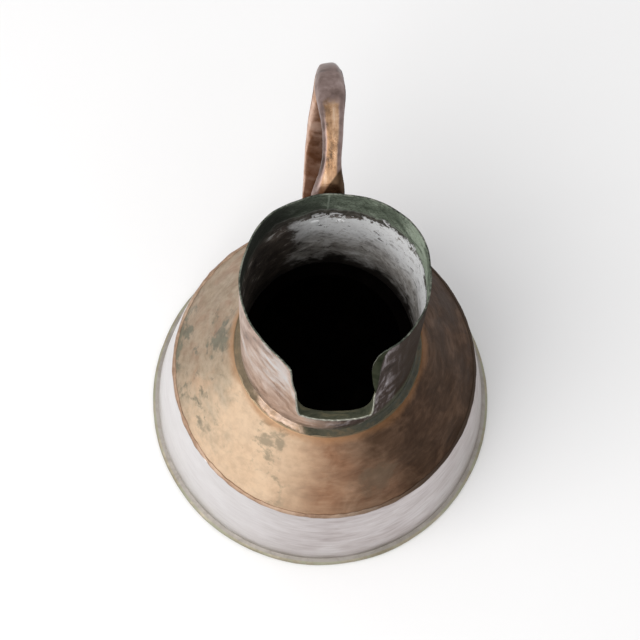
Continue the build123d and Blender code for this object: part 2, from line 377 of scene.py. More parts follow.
# Left edge of the notch, angle and height from the lip's corner up to the rim; the same for the
# crease on the right, and the free edge of the corner that is bent in past that crease.
left_edge = chain([
    (LIP_L, LIP_Z), (247.3, 194), (244.3, 199.5), (241.5, 206), (240.3, 213), (NOTCH_L, RIM_Z),
])
crease = chain([
    (TIP_R, TIP_Z), (291.3, 202), (294.1, 207), (297, 212), (300.1, 216), (CORNER_R, RIM_Z),
])
bent_edge = chain([
    tuple(neck_point(radians(TIP_R), TIP_Z)), (13.7, -39.8, 203), (13.0, -36.3, 209),
    (13.5, -34.0, 213.3), (15.8, -31.4, 217.5), (18.3, -29.9, 219.3),
    tuple(neck_point(radians(CORNER_R), RIM_Z)),
])

LOW, UP = 90, 44
WIDE, FRONT, FOLD = 440, 72, 10
b = np.linspace(0, 1, UP + 1)
le, cr, be = along(left_edge, b), along(crease, b), along(bent_edge, b)
u = np.linspace(0, 1, WIDE + 1)
rows = []
for i in range(LOW + 1):
    top = TIP_Z + (LIP_Z - TIP_Z) * u
    z = FOOT_Z + (top - FOOT_Z) * i / LOW
    a = np.radians(TIP_R + u * (LIP_L + 360 - TIP_R))
    p = neck_point(a, z)
    rows.append(np.vstack([np.repeat(p[:1], FOLD, 0), p]))
for i in range(1, UP + 1):
    a = np.radians(cr[i, 0] + u * (le[i, 0] + 360 - cr[i, 0]))
    z = cr[i, 1] + u * (le[i, 1] - cr[i, 1])
    share = i / UP
    z = z + share**3 * (0.35 * rim_wave(a) + 0.1 * rim_fine(a)) * smooth(u * 30) * smooth((1 - u) * 30)
    p = neck_point(a, z)
    s = np.linspace(0, 1, FOLD + 1)[:-1, None]
    fold = be[i] + (p[0] - be[i]) * s
    bulge = np.sin(pi * s) * 0.5 * np.sin(pi * share)
    fold = fold + bulge * np.array([[0.35, -0.9, 0.0]])
    row = np.vstack([fold, p])
    for _ in range(6):
        c = slice(1, FOLD + 8)
        row[c] = 0.25 * row[0:FOLD + 7] + 0.5 * row[c] + 0.25 * row[2:FOLD + 9]
    rows.append(row)
main_grid = np.array(rows)

fr = np.linspace(0, 1, FRONT + 1)
front_a = np.radians(LIP_L + fr * (TIP_R - LIP_L))
front_rise = np.clip((np.degrees(front_a) - TIP_RISE) / (TIP_R - TIP_RISE), 0, 1) ** 1.2
front_top = LIP_Z + (TIP_Z - LIP_Z) * front_rise
lip_nick = 0.25 * waves(10, 10, 60, 81)(front_a * 3)
front_top = front_top + lip_nick * np.sin(pi * fr)
front_rows = []
for i in range(LOW + 1):
    z = FOOT_Z + (front_top - FOOT_Z) * i / LOW
    front_rows.append(neck_point(front_a, z))
front_grid = np.array(front_rows)

mr, mc = main_grid.shape[:2]
fr_r, fr_c = front_grid.shape[:2]
verts = np.vstack([main_grid.reshape(-1, 3), front_grid.reshape(-1, 3)])
faces = grid_faces(mr, mc) + grid_faces(fr_r, fr_c, start=mr * mc)
neck = mesh_object("neck_tube", verts, faces)
fold_mark = np.zeros(len(verts), np.float32)
fold_mark[:mr * mc].reshape(mr, mc)[LOW + 2:, :FOLD] = 1.0
neck.data.attributes.new("fold", "FLOAT", "POINT").data.foreach_set("value", fold_mark)
weld = neck.modifiers.new("weld", "WELD")
weld.merge_threshold = 0.00002
solid = neck.modifiers.new("solid", "SOLIDIFY")
solid.thickness = SHEET * MM
solid.offset = -1
solid.use_even_offset = False
solid.use_quality_normals = True
solid.material_offset = 1
solid.material_offset_rim = 2
# slots for the outside, the lining and the cut edge, filled once their materials are made
for k in range(3):
    neck.data.materials.append(bpy.data.materials.new(f"slot{k}"))
bake(neck)

foot_lump_a, foot_lump_b = waves(10, 4, 18, 91), waves(16, 15, 70, 92)


def foot_solder_shape(a, r, z):
    lump = 1 + 0.3 * foot_lump_a(a) + 0.22 * foot_lump_b(a)
    wide = NECK_R + (r - NECK_R) * np.where(r > NECK_R, lump, 1)
    tall = SEAT_Z + 0.9 + (z - SEAT_Z - 0.9) * np.where(z > SEAT_Z + 1, lump, 1)
    return wide, tall


foot_solder = turned(
    "foot_solder",
    [
        (41.0, 117.2), (44.3, 117.05), (44.1, 117.5), (43.5, 118.0), (42.9, 118.4), (42.5, 118.9),
        (42.0, 119.6), (41.65, 120.4), (41.0, 120.6),
    ],
    cols=720,
    shape=foot_solder_shape,
)

# ------------------------------------------------------------------ braze down the seams
def strip(name, centre_angle, z0, z1, half_width, depth, wall, seed, inward=True, sides=17):
    """A thin lumpy run of braze laid on a wall, wall(a, z) being that face's radius."""
    n = int((z1 - z0) / 0.6)
    zz = np.linspace(z0, z1, n)
    w1, w2, w3 = waves(8, 3, 25, seed), waves(14, 20, 80, seed + 1), waves(10, 5, 40, seed + 2)
    q = np.linspace(0, 1.8 * pi, n)
    grid = []
    for k in np.linspace(-1, 1, sides):
        width = half_width * (1 + 0.25 * w1(q) + 0.12 * w2(q))
        centre = 0.3 * w3(q)
        r = wall(centre_angle, zz)
        a = centre_angle + (k * width + centre) / r
        rise = depth * np.maximum(0, 1 - k * k) ** 0.5 * (1 + 0.35 * w2(q + 1)) - 0.15
        r = wall(a, zz) + (-rise if inward else rise)
        grid.append(np.stack([r * np.cos(a), r * np.sin(a), zz], -1))
    grid = np.array(grid)
    back = []
    for k in range(sides):
        g = grid[k].copy()
        rr = np.hypot(g[:, 0], g[:, 1])
        a = np.arctan2(g[:, 1], g[:, 0])
        r = wall(a, zz) + (0.2 if inward else -0.2)
        back.append(np.stack([r * np.cos(a), r * np.sin(a), zz], -1))
    back = np.array(back)
    v = np.vstack([grid.reshape(-1, 3), back.reshape(-1, 3)])
    f = grid_faces(sides, n, flip=not inward) + grid_faces(sides, n, start=sides * n, flip=inward)
    o = sides * n
    for j in range(n - 1):
        f.append((j, j + 1, o + j + 1, o + j))
        m = (sides - 1) * n
        f.append((m + j + 1, m + j, o + m + j, o + m + j + 1))
    for k in range(sides - 1):
        f.append((k * n, (k + 1) * n, o + (k + 1) * n, o + k * n)[::-1])
        f.append((k * n + n - 1, (k + 1) * n + n - 1, o + (k + 1) * n + n - 1, o + k * n + n - 1))
    obj = mesh_object(name, v, f)
    return obj


neck_braze = strip(
    "neck_braze", radians(90.6), 118.6, 218.9, 0.7, 0.3, lambda a, z: neck_r(a, z) - SHEET, 101
)
body_braze = strip(
    "body_braze", radians(70), 5.0, 69.6, 1.5, 0.5,
    lambda a, z: wall_r(z) + 0.0 * a, 111, inward=False,
)

# ------------------------------------------------------------------ handle
TAB = 2.2
strap = rounded(
    [
        (NECK_R + TAB / 2, 183.0), (NECK_R + TAB / 2, 207.0), (NECK_R + 80.5, 240.0),
        (wall_r(EDGE_Z) + TAB / 2, EDGE_Z), (wall_r(45.0) + TAB / 2, 45.0),
    ],
    [11, 30, 34],
    step=0.8,
)
# Along the strap: share of its length, width, thickness as a share of STRAP_THICK
STRAP_THICK = 5.2
STATIONS = np.array([
    (0.00, 13.0, 0.40), (0.07, 14.0, 0.50), (0.10, 15.2, 0.75), (0.126, 10.6, 0.90), (0.15, 7.9, 1.0),
    (0.176, 8.5, 1.0), (0.20, 9.0, 1.0), (0.226, 9.9, 1.0), (0.252, 12.4, 1.1), (0.277, 13.6, 1.15),
    (0.302, 13.0, 1.2), (0.327, 11.9, 1.25), (0.352, 10.6, 1.3), (0.377, 9.6, 1.3), (0.40, 9.0, 1.3),
    (0.43, 8.6, 1.3), (0.48, 9.0, 1.25), (0.55, 9.8, 1.2), (0.65, 10.4, 1.0), (0.75, 10.8, 1.0),
    (0.82, 11.6, 0.9), (0.88, 13.0, 0.65), (0.94, 13.5, 0.45), (1.00, 13.5, 0.35),
])
# How far the strap has been knocked sideways, at shares of its length.
ASIDE = np.array([
    (0.00, -0.9), (0.075, -0.6), (0.10, -0.1), (0.126, 1.0), (0.15, 1.9), (0.176, 2.7), (0.20, 3.1),
    (0.30, 3.3), (0.35, 3.9), (0.377, 3.9), (0.40, 3.3), (0.43, 2.6), (0.48, 2.0), (0.55, 0.5),
    (0.65, -0.5), (0.75, -0.9), (1.00, -1.2),
])


def keep_outside(v):
    """Points that would be inside the neck or the body wall, laid on its outer face."""
    shape = v.shape
    v = v.reshape(-1, 3).copy()
    r, a, z = np.hypot(v[:, 0], v[:, 1]), np.arctan2(v[:, 1], v[:, 0]), v[:, 2]
    on_neck = (z > 118) & (z < RIM_Z - 0.5) & (r < 60)
    least = np.where(on_neck, neck_r(a, z), np.where(z < EDGE_Z, wall_r(z), 0)) + 0.05
    push = np.maximum(least - r, 0)
    v[:, 0] += push * np.cos(a)
    v[:, 1] += push * np.sin(a)
    return v.reshape(shape)


def strap_piece():
    n = len(strap)
    share = np.linspace(0, 1, n)
    width = softened(np.interp(share, STATIONS[:, 0], STATIONS[:, 1]))
    thick = softened(STRAP_THICK * np.interp(share, STATIONS[:, 0], STATIONS[:, 2]))
    tangent = np.gradient(strap, axis=0)
    tangent /= np.linalg.norm(tangent, axis=1)[:, None]
    outward = np.stack([-tangent[:, 1], tangent[:, 0]], 1)
    side = softened(np.interp(share, ASIDE[:, 0], ASIDE[:, 1]))
    m = 56
    t = np.linspace(0, 2 * pi, m, endpoint=False)
    w1, w2, w3 = waves(10, 2, 14, 201), waves(14, 8, 40, 202), waves(10, 3, 18, 203)
    verts, facet = [], []
    for i in range(n):
        q = share[i] * 1.9 * pi
        e = 0.42 + 0.4 * smooth((share[i] - 0.22) / 0.06) * smooth((0.7 - share[i]) / 0.2)
        cx = np.sign(np.cos(t)) * np.abs(np.cos(t)) ** e
        cy = np.sign(np.sin(t)) * np.abs(np.sin(t)) ** e
        wob = 1 + 0.02 * w1(q + t) + 0.012 * w2(q * 3 + 2 * t)
        x = cx * width[i] / 2 * wob
        y = cy * thick[i] / 2 * (1 + 0.05 * w3(q + 0.5 * t))
        chamfer = np.clip(np.abs(x) - width[i] * 0.33, 0, None)
        y = np.where(y > 0, y - 0.55 * chamfer, y)
        tilt = radians(5) * np.sin(2 * pi * share[i]) + radians(2) * w1(q)
        xr = x * cos(tilt) - y * sin(tilt)
        yr = x * sin(tilt) + y * cos(tilt)
        here, out = strap[i], outward[i]
        verts.append(np.stack([side[i] + xr, here[0] + out[0] * yr, here[1] + out[1] * yr], -1))
        middle = np.clip(1.15 - np.abs(x) / (width[i] * 0.36), 0, 1)
        facet.append(np.where(y > thick[i] * 0.2, middle, 0))
    verts = keep_outside(np.array(verts))
    faces = grid_faces(n, m, wrap=True, flip=True)
    faces.append(tuple(range(m)))
    faces.append(tuple(range((n - 1) * m, n * m))[::-1])
    obj = mesh_object("handle_strap", verts.reshape(-1, 3), faces)
    attr = obj.data.attributes.new("facet", "FLOAT", "POINT")
    attr.data.foreach_set("value", np.array(facet).reshape(-1).astype(np.float32))
    return obj


def outline(width, bottom, top, corner, n_corner=7):
    """Rounded rectangle, as (sideways, height), counter-clockwise."""
    pts = []
    for cx, cz, a0 in [
        (width / 2 - corner, bottom + corner, -pi / 2), (width / 2 - corner, top - corner, 0),
        (-width / 2 + corner, top - corner, pi / 2), (-width / 2 + corner, bottom + corner, pi),
    ]:
        for k in range(n_corner):
            a = a0 + pi / 2 * k / (n_corner - 1)
            pts.append((cx + corner * cos(a), cz + corner * sin(a)))
    return np.array(pts)


def tab_piece(name, width, bottom, top, wall, thickness, corner, seed):
    """A hammered plate that follows the wall it is riveted to."""
    edge = outline(width, bottom, top, corner)
    mid = edge.mean(0)
    ring = waves(8, 2, 9, seed)(np.linspace(0, 2 * pi, len(edge), endpoint=False))
    edge = mid + (edge - mid) * (1 + 0.03 * ring[:, None])
    hammer = ripples(18, seed + 1, 6, 30, 0.7)
    rings = 16
    layers = []
    for k in range(rings + 1):
        layers.append(mid + (edge - mid) * k / rings)
    flat = np.vstack([[mid], np.vstack(layers[1:])])
    m = len(edge)

    def lift(p, out):
        z = p[:, 1]
        r = wall(pi / 2, z)
        a = pi / 2 - p[:, 0] / r
        r = wall(a, z) + out
        return np.stack([r * np.cos(a), r * np.sin(a), z], -1)

    share = np.concatenate([[0], np.repeat(np.arange(1, rings + 1) / rings, m)])
    drop = 0.9 * np.clip((share - 0.86) / 0.14, 0, 1) ** 2
    blows = 0.12 * hammer(flat[:, 0] / 6, flat[:, 1]) * (1 - share**4)
    top_out = thickness - drop * thickness * 0.5 + blows
    front = lift(flat, top_out)
    back = lift(flat, np.full(len(flat), 0.03))
    verts = np.vstack([front, back])
    faces = []
    for j in range(m):
        faces.append((0, 1 + (j + 1) % m, 1 + j))
    for k in range(rings - 1):
        s0, s1 = 1 + k * m, 1 + (k + 1) * m
        for j in range(m):
            j2 = (j + 1) % m
            faces.append((s0 + j, s0 + j2, s1 + j2, s1 + j))
    faces += [tuple(len(flat) + v for v in f[::-1]) for f in faces]
    s0 = 1 + (rings - 1) * m
    s1 = len(flat) + s0
    for j in range(m):
        j2 = (j + 1) % m
        faces.append((s0 + j, s0 + j2, s1 + j2, s1 + j))
    obj = mesh_object(name, verts, faces)
    face_outwards(obj)
    attr = obj.data.attributes.new("facet", "FLOAT", "POINT")
    attr.data.foreach_set("value", np.zeros(len(verts), np.float32))
    return obj


def face_outwards(obj):
    bm = bmesh.new()
    bm.from_mesh(obj.data)
    bmesh.ops.recalc_face_normals(bm, faces=bm.faces)
    bm.to_mesh(obj.data)
    bm.free()


strap_obj = strap_piece()
face_outwards(strap_obj)
upper_tab = tab_piece("handle_upper_tab", 21.0, 175.0, 206.0, neck_r, TAB, 5, 301)
lower_tab = tab_piece(
    "handle_lower_tab", 18.0, 37.0, 70.0, lambda a, z: wall_r(z) + 0.0 * a, TAB, 5, 311
)
for o in (body, base, shoulder, edge_solder, neck, foot_solder, neck_braze, body_braze):
    face_outwards(o)


def rivet(name, places, wall, grip_out, grip_in, seed):
    """Rivets with a hammered head outside and another inside. places are (angle, height)."""
    verts, faces, inner = [], [], []
    for index, (a, z) in enumerate(places):
        lump = waves(6, 2, 7, seed + index)
        lump2 = waves(8, 5, 16, seed + 10 + index)
        r = wall(a, z)
        n = np.array([cos(a), sin(a), 0.0])
        s = np.array([-sin(a), cos(a), 0.0])
        up = np.array([0, 0, 1.0])
        c = n * float(r) + up * z
        for sign, out, head, tall in ((1, grip_out, 3.3, 1.35), (-1, grip_in, 2.3, 0.6)):
            start = len(verts)
            m, rings = 28, 9
            verts.append(c + n * (out + sign * tall))
            for k in range(1, rings + 1):
                q = k / rings
                for j in range(m):
                    t = 2 * pi * j / m
                    rad = head * np.sin(q * pi / 2) * (1 + 0.05 * lump(t) * q)
                    h = tall * np.cos(q * pi / 2) * (1 + 0.06 * lump2(t)) - 0.2 * (k == rings)
                    verts.append(c + n * (out + sign * h) + (s * cos(t) + up * sin(t)) * rad)
            for j in range(m):
                faces.append((start, start + 1 + j, start + 1 + (j + 1) % m))
            for k in range(rings - 1):
                a0, a1 = start + 1 + k * m, start + 1 + (k + 1) * m
                for j in range(m):
                    j2 = (j + 1) % m
                    faces.append((a0 + j, a1 + j, a1 + j2, a0 + j2))
            faces.append(tuple(start + 1 + (rings - 1) * m + j for j in range(m)))
            inner += [int(sign < 0)] * (len(faces) - len(inner))
    obj = mesh_object(name, np.array(verts), faces)
    obj.data.polygons.foreach_set("material_index", np.array(inner, np.int32))
    face_outwards(obj)
    return obj


upper_rivets = rivet(
    "upper_rivet_heads", [(radians(90) - 6 / 42, 184.0), (radians(90) + 6 / 42, 184.0)],
    neck_r, TAB - 0.1, -SHEET + 0.05, 401,
)
lower_rivets = rivet(
    "lower_rivet_heads", [(radians(90), 60.0), (radians(90), 46.0)],
    lambda a, z: wall_r(z), TAB - 0.1, -SHEET + 0.05, 421,
)


# ------------------------------------------------------------------ materials
class Nodes:
    """Small helper to build one material's nodes."""

    def __init__(self, name):
        self.mat = bpy.data.materials.new(name)
        self.mat.use_nodes = True
        self.nt = self.mat.node_tree
        self.nt.nodes.clear()
        self.out = self.nt.nodes.new("ShaderNodeOutputMaterial")

    def put(self, kind, inputs=None, out=0, **attrs):
        node = self.nt.nodes.new(kind)
        for k, v in attrs.items():
            setattr(node, k, v)
        for k, v in (inputs or {}).items():
            if isinstance(v, bpy.types.NodeSocket):
                self.nt.links.new(v, node.inputs[k])
            else:
                node.inputs[k].default_value = v
        return node.outputs[out]

    def math(self, op, a, b=0.0, clamp=False):
        return self.put("ShaderNodeMath", {0: a, 1: b}, operation=op, use_clamp=clamp)

    def plus(self, a, b):
        return self.math("ADD", a, b)

    def times(self, a, b):
        return self.math("MULTIPLY", a, b)

    def both(self, a, a_share, b, b_share):
        return self.plus(self.times(a, a_share), self.times(b, b_share))

    def vary(self, value, noise, amount):
        """The value moved up and down by a noise that lies about 0.5."""
        return self.plus(value, self.times(self.math("SUBTRACT", noise, 0.5), amount))

    def noise(self, vec, scale, detail=6, rough=0.55, distort=0.0):
        return self.put(
            "ShaderNodeTexNoise",
            {"Vector": vec, "Scale": scale, "Detail": detail, "Roughness": rough, "Distortion": distort},
        )

    def ramp(self, fac, stops):
        node = self.nt.nodes.new("ShaderNodeValToRGB")
        el = node.color_ramp.elements
        while len(el) > 1:
            el.remove(el[-1])
        el[0].position, el[0].color = stops[0][0], (*stops[0][1], 1)
        for p, c in stops[1:]:
            el.new(p).color = (*c, 1)
        self.nt.links.new(fac, node.inputs[0])
        return node.outputs[0]

    def span(self, v, a, b, lo=0.0, hi=1.0):
        """Smooth step from lo to hi as v goes from a to b."""
        return self.put(
            "ShaderNodeMapRange", {0: v, 1: a, 2: b, 3: lo, 4: hi},
            interpolation_type="SMOOTHSTEP",
        )

    def mix(self, fac, a, b):
        node = self.nt.nodes.new("ShaderNodeMix")
        node.data_type = "RGBA"
        for key, v in ((0, fac), (6, a), (7, b)):
            if isinstance(v, bpy.types.NodeSocket):
                self.nt.links.new(v, node.inputs[key])
            elif key == 0:
                node.inputs[key].default_value = v
            else:
                node.inputs[key].default_value = (*v, 1)
        return node.outputs[2]

    def coords(self):
        """Object coordinates and their x, y, z."""
        co = self.put("ShaderNodeTexCoord", out=3)
        sep = self.nt.nodes.new("ShaderNodeSeparateXYZ")
        self.nt.links.new(co, sep.inputs[0])
        x, y, z = sep.outputs
        return co, x, y, z

    def streaks(self, x, y, z, round_scale, up_scale):
        flat = self.put("ShaderNodeCombineXYZ", {0: x, 1: y, 2: 0.0})
        unit = self.put("ShaderNodeVectorMath", {0: flat}, operation="NORMALIZE")
        wide = self.put("ShaderNodeVectorMath", {0: unit, 3: round_scale}, operation="SCALE")
        up = self.put("ShaderNodeCombineXYZ", {0: 0.0, 1: 0.0, 2: self.math("MULTIPLY", z, up_scale)})
        return self.put("ShaderNodeVectorMath", {0: wide, 1: up}, operation="ADD")

    def side(self, x, y, degrees_at):
        """1 on the side of the jug at that angle, -1 on the far side."""
        flat = self.put("ShaderNodeCombineXYZ", {0: x, 1: y, 2: 0.0})
        unit = self.put("ShaderNodeVectorMath", {0: flat}, operation="NORMALIZE")
        d = (cos(radians(degrees_at)), sin(radians(degrees_at)), 0.0)
        return self.put("ShaderNodeVectorMath", {0: unit, 1: d}, operation="DOT_PRODUCT", out=1)

    def bump(self, height, strength, distance, normal=None):
        ins = {"Height": height, "Strength": strength, "Distance": distance}
        if normal is not None:
            ins["Normal"] = normal
        return self.put("ShaderNodeBump", ins)

    def finish(self, color, metallic, roughness, normal, spec=0.5):
        node = self.nt.nodes.new("ShaderNodeBsdfPrincipled")
        for key, v in (
            ("Base Color", color), ("Metallic", metallic), ("Roughness", roughness), ("Normal", normal),
            ("Specular IOR Level", spec), ("IOR", 1.5),
        ):
            if isinstance(v, bpy.types.NodeSocket):
                self.nt.links.new(v, node.inputs[key])
            elif v is not None:
                node.inputs[key].default_value = v if not isinstance(v, tuple) else (*v, 1)
        self.nt.links.new(node.outputs[0], self.out.inputs[0])
        return self.mat


def shoulder_material():
    m = Nodes("shoulder_copper")
    co, x, y, z = m.coords()
    ring = m.streaks(x, y, z, 2.6, 150)
    streak = m.noise(ring, 3.0, 3, 0.5, 0.5)
    broad = m.noise(co, 26, 4, 0.55, 0.4)
    fine = m.noise(co, 260, 6, 0.65)
    grit = m.noise(co, 170, 5, 0.62, 0.3)
    blotch = m.noise(co, 62, 5, 0.6, 0.6)
    tone = m.both(streak, 0.15, broad, 0.42)
    tone = m.plus(tone, m.times(blotch, 0.43))
    copper = m.ramp(tone, [
        (0.34, (0.20, 0.095, 0.050)), (0.44, (0.35, 0.185, 0.105)), (0.51, (0.45, 0.265, 0.160)),
        (0.59, (0.54, 0.335, 0.215)), (0.68, (0.56, 0.39, 0.28)),
    ])
    # painted light: the lower left, which faces the window, is lightened towards pale copper
    painted_light = m.span(m.vary(m.side(x, y, 222), broad, 0.2), 0.66, 0.98)
    copper = m.mix(m.times(painted_light, 0.75), copper, (0.88, 0.68, 0.48))
    fine_tone = m.span(fine, 0.35, 0.7)
    copper = m.mix(m.times(fine_tone, 0.22), copper, (0.30, 0.20, 0.13))
    # olive film on the far left; on the right, purple-brown oxide with painted shade where the light does
    # not reach
    left_back = m.side(x, y, 158)
    film = m.times(m.span(m.vary(left_back, blotch, 1.4), 0.50, 1.05), 0.7)
    copper = m.mix(film, copper, m.mix(fine_tone, (0.45, 0.39, 0.30), (0.32, 0.275, 0.20)))
    right = m.side(x, y, 12)
    painted_shade_mask = m.span(m.vary(right, broad, 1.2), -0.6, 0.45)
    dark = m.ramp(m.both(streak, 0.3, blotch, 0.7), [
        (0.36, (0.016, 0.008, 0.004)), (0.5, (0.036, 0.019, 0.011)), (0.64, (0.085, 0.048, 0.030)),
    ])
    color = m.mix(m.times(painted_shade_mask, 0.95), copper, dark)
    # one dull blotch at the front right
    away = m.put("ShaderNodeVectorMath", {0: co, 1: (0.021, -0.060, 0.088)}, operation="DISTANCE", out=1)
    spot = m.span(m.vary(away, grit, 0.022), 0.013, 0.005)
    color = m.mix(m.times(spot, 0.6), color, (0.12, 0.085, 0.055))
    # verdigris in drifts
    drift = m.put("ShaderNodeMapping", {0: co, 3: (1.0, 0.55, 0.7)})
    patch = m.noise(drift, 52, 6, 0.62, 0.5)
    left = m.side(x, y, 176)
    low_left = m.side(x, y, 232)
    ragged = m.vary(patch, grit, 0.7)
    green_mask = m.span(ragged, 0.53, 0.68)
    reach = m.math("MAXIMUM", m.span(left, 0.74, 0.95), m.times(m.span(low_left, 0.93, 0.985), 0.7))
    green_mask = m.times(m.times(green_mask, reach), 0.8)
    color = m.mix(green_mask, color, m.mix(fine_tone, (0.055, 0.058, 0.032), (0.13, 0.13, 0.085)))
    # painted highlight: an orange ring where the bend at the neck's seat catches the light, fainter on the
    # shaded side
    seat_bend_highlight = m.span(m.vary(z, blotch, 0.012), 0.1110, 0.1165)
    color = m.mix(m.times(seat_bend_highlight, m.span(painted_shade_mask, 0.0, 1.0, 0.55, 0.25)), color, (0.44, 0.21, 0.085))
    seat = m.span(z, 0.1163, 0.1168)
    color = m.mix(m.times(seat, 0.8), color, (0.10, 0.095, 0.065))
    rough = m.span(m.noise(co, 60, 5, 0.6), 0.3, 0.7, 0.36, 0.56)
    scratch = m.noise(m.streaks(x, y, z, 14, 2400), 3.0, 4, 0.6)
    n1 = m.bump(blotch, 0.25, 0.0015)
    n2 = m.bump(scratch, 0.03, 0.0003, n1)
    n3 = m.bump(fine, 0.2, 0.0003, n2)
    metal = m.math("SUBTRACT", 1.0, m.both(green_mask, 0.8, painted_shade_mask, 0.6), clamp=True)
    return m.finish(color, metal, rough, n3, spec=m.span(painted_shade_mask, 0.0, 1.0, 0.5, 0.02))


def skirt_material():
    m = Nodes("skirt_copper")
    co, x, y, z = m.coords()
    ring = m.streaks(x, y, z, 2.2, 130)
    streak = m.noise(ring, 3.0, 4, 0.5, 0.4)
    broad = m.noise(co, 20, 4, 0.5, 0.3)
    fine = m.noise(co, 240, 6, 0.65)
    tone = m.both(streak, 0.6, broad, 0.4)
    copper = m.ramp(tone, [
        (0.36, (0.37, 0.315, 0.31)), (0.46, (0.46, 0.41, 0.405)), (0.56, (0.52, 0.475, 0.475)),
        (0.68, (0.58, 0.55, 0.55)),
    ])
    # painted reflection: the left side paled towards white, standing in for the bright floor it reflects
    painted_sheen = m.span(m.side(x, y, 190), 0.1, 1.0)
    copper = m.mix(m.times(painted_sheen, 0.7), copper, (0.80, 0.785, 0.785))
    # painted shade: the right side of the skirt darkened
    right = m.side(x, y, 10)
    painted_shade_mask = m.span(m.vary(right, broad, 1.0), 0.45, 1.15)
    color = m.mix(m.times(painted_shade_mask, 0.5), copper, (0.22, 0.18, 0.155))
    low = m.span(m.plus(z, m.times(broad, 0.01)), 0.014, 0.007)
    color = m.mix(m.times(low, 0.4), color, (0.42, 0.42, 0.34))
    rough = m.span(m.noise(co, 50, 5, 0.6), 0.3, 0.7, 0.28, 0.46)
    scratch = m.noise(m.streaks(x, y, z, 14, 2200), 3.0, 4, 0.6)
    n1 = m.bump(broad, 0.2, 0.002)
    n2 = m.bump(scratch, 0.05, 0.0003, n1)
    n3 = m.bump(fine, 0.15, 0.0003, n2)
    return m.finish(color, 1.0, rough, n3)


def base_material():
    m = Nodes("base_copper")
    co, x, y, z = m.coords()
    broad = m.noise(co, 40, 5, 0.55, 0.3)
    fine = m.noise(co, 420, 6, 0.65)
    copper = m.ramp(broad, [
        (0.3, (0.26, 0.23, 0.16)), (0.5, (0.38, 0.34, 0.26)), (0.7, (0.48, 0.43, 0.35)),
    ])
    patina = m.span(m.noise(co, 120, 5, 0.6, 0.6), 0.42, 0.62)
    color = m.mix(m.times(patina, 0.7), copper, m.mix(fine, (0.20, 0.21, 0.14), (0.38, 0.39, 0.29)))
    flat = m.put("ShaderNodeCombineXYZ", {0: x, 1: y, 2: 0.0})
    radius = m.put("ShaderNodeVectorMath", {0: flat}, operation="LENGTH", out=1)
    inner = m.times(m.span(radius, 0.0888, 0.0882), m.span(z, 0.0015, 0.0025))
    color = m.mix(inner, color, (0.36, 0.33, 0.30))
    n1 = m.bump(broad, 0.3, 0.001)
    n2 = m.bump(fine, 0.3, 0.0003, n1)
    rough = m.span(fine, 0.3, 0.7, 0.55, 0.75)
    metal = m.math("SUBTRACT", 1.0, m.times(patina, 0.6))
    return m.finish(color, metal, rough, n2)


def neck_outside():
    m = Nodes("neck_copper")
    co, x, y, z = m.coords()
    broad = m.noise(co, 38, 5, 0.6, 0.6)
    mottle = m.noise(co, 110, 6, 0.6, 0.4)
    fine = m.noise(co, 420, 6, 0.65)
    tone = m.both(broad, 0.6, mottle, 0.4)
    copper = m.ramp(tone, [
        (0.36, (0.14, 0.085, 0.058)), (0.44, (0.34, 0.22, 0.165)), (0.51, (0.50, 0.37, 0.30)),
        (0.57, (0.60, 0.49, 0.43)), (0.65, (0.60, 0.59, 0.59)),
    ])
    # painted shade on the right cheek, with its grey streaks painted in as highlights
    right = m.side(x, y, -25)
    painted_shade_mask = m.span(m.vary(right, broad, 0.8), 0.0, 0.55)
    long_way = m.put("ShaderNodeMapping", {0: co, 3: (3.0, 3.0, 0.5)})
    sheen_runs = m.noise(long_way, 70, 5, 0.6, 0.3)
    dark = m.ramp(m.both(sheen_runs, 0.6, mottle, 0.4), [
        (0.38, (0.016, 0.011, 0.008)), (0.5, (0.050, 0.036, 0.032)), (0.59, (0.22, 0.195, 0.20)),
        (0.68, (0.52, 0.50, 0.53)),
    ])
    # painted shade: deeper still on the right just below the rim
    dark = m.mix(m.span(m.side(x, y, -20), 0.80, 0.98), dark, (0.022, 0.014, 0.009))
    color = m.mix(m.times(painted_shade_mask, 0.97), copper, dark)
    # painted highlight: a pale grey patch on the front-left cheek
    wear_and_painted_highlight = m.times(m.span(m.side(x, y, 226), 0.965, 0.995), m.span(z, 0.150, 0.172))
    wear_and_painted_highlight = m.times(wear_and_painted_highlight, m.span(mottle, 0.42, 0.56))
    color = m.mix(m.times(wear_and_painted_highlight, 0.5), color, (0.60, 0.62, 0.64))
    low = m.span(m.plus(z, m.times(broad, 0.02)), 0.142, 0.131)
    low = m.times(low, m.span(m.side(x, y, 205), -0.2, 0.75, 0.85, 0.3))
    color = m.mix(low, color, (0.075, 0.078, 0.054))
    # painted shade: the corner bent in past the crease is painted near black
    fold = m.span(m.put("ShaderNodeAttribute", attribute_name="fold", out=2), 0.2, 0.8)
    color = m.mix(fold, color, m.ramp(mottle, [
        (0.35, (0.012, 0.015, 0.008)), (0.65, (0.040, 0.044, 0.028)),
    ]))
    rough = m.span(mottle, 0.3, 0.7, 0.34, 0.55)
    n1 = m.bump(broad, 0.3, 0.002)
    n2 = m.bump(mottle, 0.25, 0.0006, n1)
    n3 = m.bump(fine, 0.25, 0.0002, n2)
    dull = m.math("MAXIMUM", m.math("MAXIMUM", fold, low), painted_shade_mask)
    metal = m.math("SUBTRACT", 1.0, m.times(dull, 0.85))
    return m.finish(color, metal, rough, n3, spec=m.span(dull, 0.0, 1.0, 0.5, 0.0))


